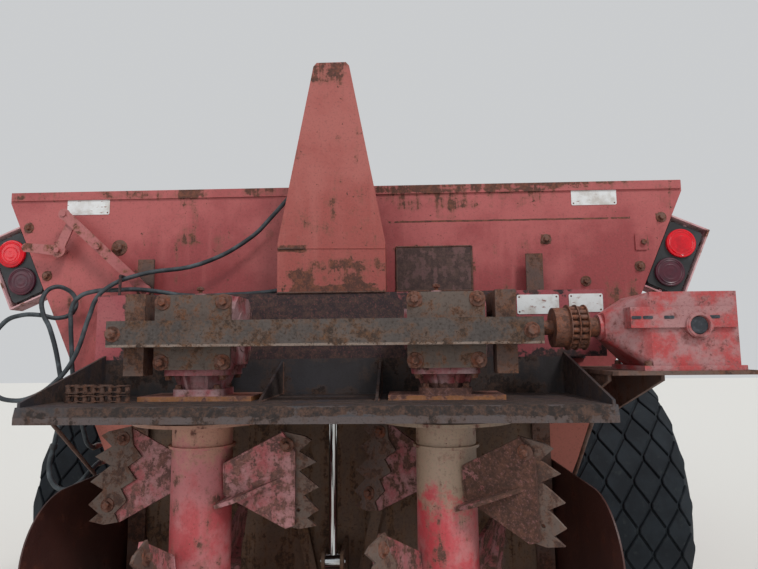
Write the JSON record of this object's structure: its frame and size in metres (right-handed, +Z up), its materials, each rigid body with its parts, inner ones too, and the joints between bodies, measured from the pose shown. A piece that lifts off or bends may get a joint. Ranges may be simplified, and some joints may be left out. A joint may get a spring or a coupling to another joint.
{
  "type": "manure spreader",
  "caption": "Towed rear-discharge manure spreader with a flared box, sliding gate, vertical beaters and a gate cylinder tower, parked on its jack.",
  "frame": {"origin": "ground level, at the middle of the machine's width and length", "axes": "+Z up, +Y forward to the drawbar, +X to the right seen from behind"},
  "size_m": [3.411, 7.131, 2.724],
  "materials": {
    "box_paint": "faded red paint with rust stains",
    "drive_paint": "red enamel, worn to grey and pink",
    "rusty_steel": "dark rust, matt",
    "gate_steel": "brown rust, matt",
    "tray_steel": "dark rust with dust, matt",
    "shield_paint": "dark maroon paint, matt",
    "chrome_rod": "polished",
    "bright_steel": "dull",
    "tyre": "weathered rubber",
    "black_plastic": "matt",
    "lamp_red": "clear red, glossy",
    "bracket_paint": "chalky pink paint",
    "hose_rubber": "satin"
  },
  "bodies": {
    "frame": {"rails": "rusty_steel", "cross_members": "rusty_steel", "axle": "rusty_steel", "tongue": "box_paint", "hitch_clevis": "rusty_steel", "jack_tube": "drive_paint", "box_side_left": "box_paint", "box_side_right": "box_paint", "front_wall": "box_paint", "rear_wall": "box_paint", "floor": "rusty_steel", "apron": "rusty_steel", "apron_shafts": "bright_steel", "gate_guides": "rusty_steel", "cylinder_barrel": "drive_paint", "tower": "box_paint", "head_beam": "rusty_steel", "tray": "tray_steel", "guard_channel": "rusty_steel", "guard_posts": "rusty_steel", "beater_gearboxes": "drive_paint", "gearbox_covers": "rusty_steel", "side_gearbox": "drive_paint", "gearbox_platform": "tray_steel", "beater_sill": "tray_steel", "side_shields": "shield_paint", "shield_braces": "rusty_steel", "lamp_brackets": "bracket_paint", "lamp_housings": "black_plastic", "lamp_lenses": "lamp_red", "shaft_bearings": "rusty_steel", "chain_case": "box_paint", "indicator_linkage": "drive_paint", "loose_chain": "rusty_steel", "hydraulic_pipes": "bright_steel", "hose_upper": "hose_rubber", "hose_lower": "hose_rubber"},
    "wheel_left": {"tyre_left": "tyre", "rim_left": "rusty_steel"},
    "wheel_right": {"tyre_right": "tyre", "rim_right": "rusty_steel"},
    "beater_left": {"beater_tube_left": "box_paint", "beater_paddles_left": "drive_paint", "beater_knives_left": "rusty_steel"},
    "beater_right": {"beater_tube_right": "box_paint", "beater_paddles_right": "drive_paint", "beater_knives_right": "rusty_steel"},
    "cross_drive": {"cross_shaft": "rusty_steel", "chain_coupler": "rusty_steel"},
    "line_drive": {"line_shaft": "bright_steel"},
    "pto_drive": {"pto_shaft": "black_plastic"},
    "gate_body": {"gate": "gate_steel", "cylinder_rod": "chrome_rod"},
    "jack_body": {"jack_leg": "bright_steel"}
  },
  "joints": [
    {"name": "wheel_left_spin", "type": "hinge", "parent": "frame", "child": "wheel_left", "pos_m": [-1.368, -1.2345, 0.8], "axis": [1, 0, 0], "continuous": true},
    {"name": "wheel_right_spin", "type": "hinge", "parent": "frame", "child": "wheel_right", "pos_m": [1.368, -1.2345, 0.8], "axis": [1, 0, 0], "continuous": true},
    {"name": "beater_left_spin", "type": "hinge", "parent": "frame", "child": "beater_left", "pos_m": [-0.375, -3.1795, 1], "axis": [0, 0, 1], "continuous": true},
    {"name": "beater_right_spin", "type": "hinge", "parent": "frame", "child": "beater_right", "pos_m": [0.375, -3.1795, 1], "axis": [0, 0, 1], "continuous": true},
    {"name": "cross_shaft_spin", "type": "hinge", "parent": "frame", "child": "cross_drive", "pos_m": [0, -3.1795, 1.738], "axis": [1, 0, 0], "continuous": true},
    {"name": "line_shaft_spin", "type": "hinge", "parent": "frame", "child": "line_drive", "pos_m": [1.165, -0.7345, 1.738], "axis": [0, 1, 0], "continuous": true},
    {"name": "pto_spin", "type": "hinge", "parent": "frame", "child": "pto_drive", "pos_m": [0, 2.6655, 0.765], "axis": [0, 1, 0], "continuous": true},
    {"name": "gate_slide", "type": "slide", "parent": "frame", "child": "gate_body", "axis": [0, 0, 1], "range_m": [0, 0.62]},
    {"name": "jack_slide", "type": "slide", "parent": "frame", "child": "jack_body", "axis": [0, 0, 1], "range_m": [0, 0.3]}
  ],
  "couplings": [
    {"joint": "beater_right_spin", "follows": "beater_left_spin", "ratio": -1},
    {"joint": "cross_shaft_spin", "follows": "beater_left_spin", "ratio": 1},
    {"joint": "line_shaft_spin", "follows": "beater_left_spin", "ratio": 1},
    {"joint": "pto_spin", "follows": "beater_left_spin", "ratio": 1.5}
  ]
}
